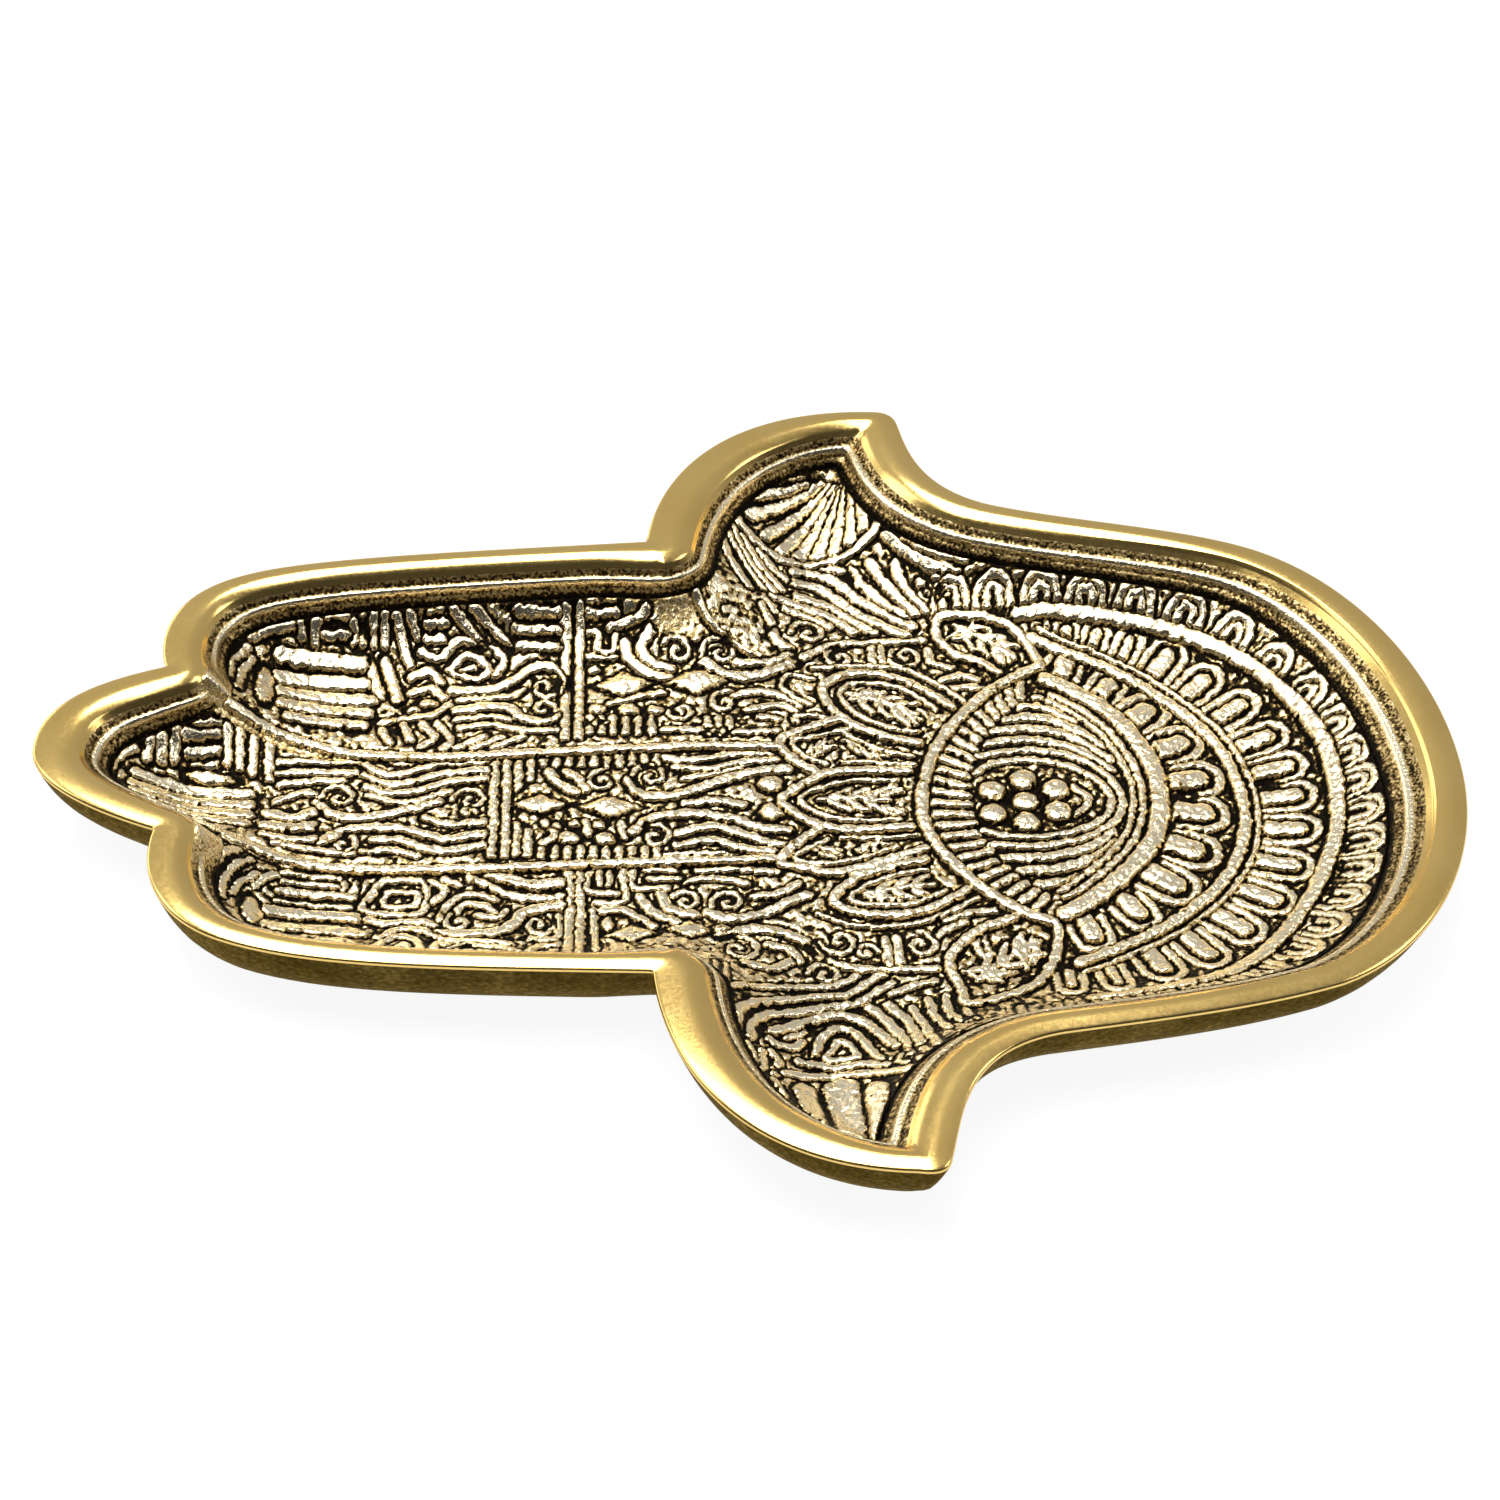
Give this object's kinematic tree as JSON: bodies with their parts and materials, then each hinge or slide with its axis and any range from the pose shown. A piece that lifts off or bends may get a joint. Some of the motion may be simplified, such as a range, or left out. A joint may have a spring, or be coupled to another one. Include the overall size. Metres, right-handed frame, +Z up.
{
  "type": "hamsa decorative bowl",
  "caption": "Shallow cast-brass dish shaped like a hamsa hand, with a polished rim and antiqued relief of an eye, scallops, lotus petals and frets, standing on felt pads.",
  "frame": {"origin": "on the table, under the middle of the dish's length and width", "axes": "+X from the fingertips to the wrist, +Z up, +Y towards the left thumb when looking along +X with +Z up"},
  "size_m": [0.2824, 0.2117, 0.0215],
  "materials": {
    "antique_brass": "sand cast, satin polished rim, relief brushed bright over dark patina, outside left rough",
    "felt": "dense pressed wool felt"
  },
  "bodies": {
    "root": {"bowl_casting": "antique_brass", "felt_pad_finger_left": "felt", "felt_pad_finger_right": "felt", "felt_pad_palm_left": "felt", "felt_pad_palm_right": "felt"}
  },
  "joints": []
}
